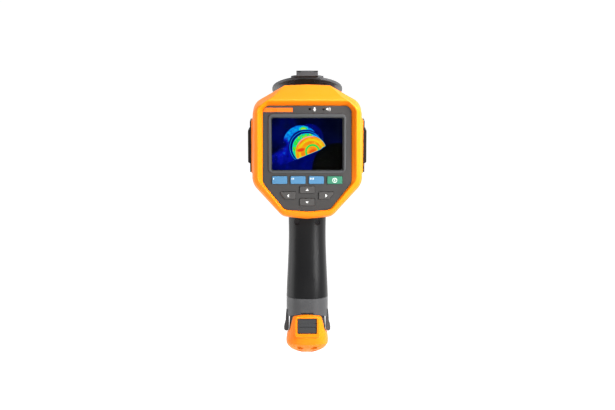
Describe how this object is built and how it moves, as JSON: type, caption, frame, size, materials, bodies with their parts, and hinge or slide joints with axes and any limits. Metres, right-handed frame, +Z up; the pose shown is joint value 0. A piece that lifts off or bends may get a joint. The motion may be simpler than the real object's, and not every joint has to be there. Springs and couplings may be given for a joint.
{
  "type": "handheld thermal imaging camera",
  "caption": "Pistol-grip thermal imaging camera with a hooded display and keys at the back, a flip-up lens cover in front and a battery in the grip.",
  "frame": {"origin": "centre of the mouth of the front lens ring, on the optical axis", "axes": "+Y out of the lens along the optical axis, +X to the right of a user who looks at the display, +Z up"},
  "size_m": [0.119, 0.1574, 0.2847],
  "materials": {
    "yellow_plastic": "satin moulded plastic with a fine grain",
    "charcoal_plastic": "dark satin moulded plastic",
    "panel_plastic": "warm dark grey, fine texture",
    "frame_plastic": "mid grey satin",
    "collar_plastic": "mid grey satin",
    "grip_rubber": "black soft-touch",
    "seal_rubber": "black rubber",
    "key_blue": "blue silicone key",
    "key_green": "green silicone key",
    "key_grey": "dark grey silicone key",
    "screen_glass": "clear polished glass",
    "lcd": "lit display",
    "strip_orange": "blank orange strip",
    "lens_metal": "black anodised",
    "ir_optics": "coated infrared lens, nearly opaque",
    "chassis_metal": "die-cast",
    "steel": "plated steel",
    "dark_steel": "blackened steel",
    "brass": "gold-plated contacts",
    "board": "green circuit board",
    "chip": "black epoxy",
    "window_glass": "clear window",
    "bracket_plastic": "black glass-filled nylon",
    "trigger_green": "green satin plastic",
    "trigger_black": "black satin plastic",
    "cell_can": "shrink-wrapped cell"
  },
  "bodies": {
    "housing": {"rear_case": "yellow_plastic", "front_case": "charcoal_plastic", "casing_gasket": "seal_rubber", "case_screws": "steel", "control_panel": "panel_plastic", "name_strip": "strip_orange", "screen_frame": "frame_plastic", "touch_glass": "screen_glass", "lcd_panel": "lcd", "keypad_sheet": "seal_rubber", "main_board": "board", "board_components": "chip", "audio_parts": "chip", "lens_barrel": "lens_metal", "front_lens": "ir_optics", "lens_retainer": "lens_metal", "rear_lens": "ir_optics", "lens_cell": "lens_metal", "detector_module": "chassis_metal", "optics_chassis": "chassis_metal", "chin_windows": "window_glass", "chin_modules": "chip", "cover_hinge_pin": "steel", "strap_bracket_left": "bracket_plastic", "strap_bracket_right": "bracket_plastic", "bracket_screws": "dark_steel", "port_door_pin": "steel", "port_block": "charcoal_plastic", "port_sockets": "steel", "memory_card": "chip", "grip_rear_shell": "grip_rubber", "grip_front_shell": "charcoal_plastic", "grip_screws": "dark_steel", "trigger_pin": "steel", "trigger_switches": "chip", "grip_collar": "collar_plastic", "battery_contacts": "brass"},
    "focus_ring": {"focus_ring": "trigger_black"},
    "lens_cover": {"lens_cover": "collar_plastic", "cover_seal": "seal_rubber"},
    "port_door": {"port_door": "charcoal_plastic"},
    "main_trigger": {"main_trigger": "trigger_green"},
    "small_trigger": {"small_trigger": "trigger_black"},
    "battery": {"battery_cap": "yellow_plastic", "battery_case": "charcoal_plastic", "battery_cells": "cell_can", "battery_board": "board", "cap_screws": "dark_steel"},
    "release_button": {"release_button": "frame_plastic"},
    "key_f1": {"key_f1": "key_blue"},
    "key_f2": {"key_f2": "key_blue"},
    "key_f3": {"key_f3": "key_blue"},
    "key_power": {"key_power": "key_green"},
    "key_up": {"key_up": "key_grey"},
    "key_down": {"key_down": "key_grey"},
    "key_left": {"key_left": "key_grey"},
    "key_right": {"key_right": "key_grey"}
  },
  "joints": [
    {"name": "lens_cover_hinge", "type": "hinge", "parent": "housing", "child": "lens_cover", "pos_m": [0, 0.003, 0.0406], "axis": [1, 0, 0], "range_deg": [-246.2, 0]},
    {"name": "focus_ring_turn", "type": "hinge", "parent": "housing", "child": "focus_ring", "pos_m": [0, -0.0178, 0], "axis": [0, 1, 0], "range_deg": [-60, 60]},
    {"name": "port_door_swing", "type": "hinge", "parent": "housing", "child": "port_door", "pos_m": [-0.04506, -0.06729, -0.0093], "axis": [-0.1812, -0.9835, 0], "range_deg": [0, 95]},
    {"name": "main_trigger_pull", "type": "hinge", "parent": "housing", "child": "main_trigger", "pos_m": [0, -0.09035, -0.08304], "axis": [1, 0, 0], "range_deg": [-6, 0], "stiffness_Nm_per_rad": 0.3, "springref_deg": 2.86},
    {"name": "small_trigger_push", "type": "slide", "parent": "housing", "child": "small_trigger", "axis": [0, -0.9877, 0.1564], "range_m": [0, 0.002], "stiffness_N_per_m": 800, "springref_m": -0.0005},
    {"name": "battery_slide", "type": "slide", "parent": "housing", "child": "battery", "axis": [0, -0.1564, -0.9877], "range_m": [0, 0.095]},
    {"name": "battery_release_press", "type": "slide", "parent": "battery", "child": "release_button", "axis": [0, 0.9877, -0.1564], "range_m": [0, 0.0012], "stiffness_N_per_m": 1200, "springref_m": -0.0003},
    {"name": "key_f1_press", "type": "slide", "parent": "housing", "child": "key_f1", "axis": [0, 0.9986, -0.0523], "range_m": [0, 0.0007], "stiffness_N_per_m": 1000, "springref_m": -0.0003},
    {"name": "key_f2_press", "type": "slide", "parent": "housing", "child": "key_f2", "axis": [0, 0.9986, -0.0523], "range_m": [0, 0.0007], "stiffness_N_per_m": 1000, "springref_m": -0.0003},
    {"name": "key_f3_press", "type": "slide", "parent": "housing", "child": "key_f3", "axis": [0, 0.9986, -0.0523], "range_m": [0, 0.0007], "stiffness_N_per_m": 1000, "springref_m": -0.0003},
    {"name": "key_power_press", "type": "slide", "parent": "housing", "child": "key_power", "axis": [0, 0.9986, -0.0523], "range_m": [0, 0.0007], "stiffness_N_per_m": 1000, "springref_m": -0.0003},
    {"name": "key_up_press", "type": "slide", "parent": "housing", "child": "key_up", "axis": [0, 0.9986, -0.0523], "range_m": [0, 0.0007], "stiffness_N_per_m": 1000, "springref_m": -0.0003},
    {"name": "key_down_press", "type": "slide", "parent": "housing", "child": "key_down", "axis": [0, 0.9986, -0.0523], "range_m": [0, 0.0007], "stiffness_N_per_m": 1000, "springref_m": -0.0003},
    {"name": "key_left_press", "type": "slide", "parent": "housing", "child": "key_left", "axis": [0, 0.9986, -0.0523], "range_m": [0, 0.0007], "stiffness_N_per_m": 1000, "springref_m": -0.0003},
    {"name": "key_right_press", "type": "slide", "parent": "housing", "child": "key_right", "axis": [0, 0.9986, -0.0523], "range_m": [0, 0.0007], "stiffness_N_per_m": 1000, "springref_m": -0.0003}
  ]
}
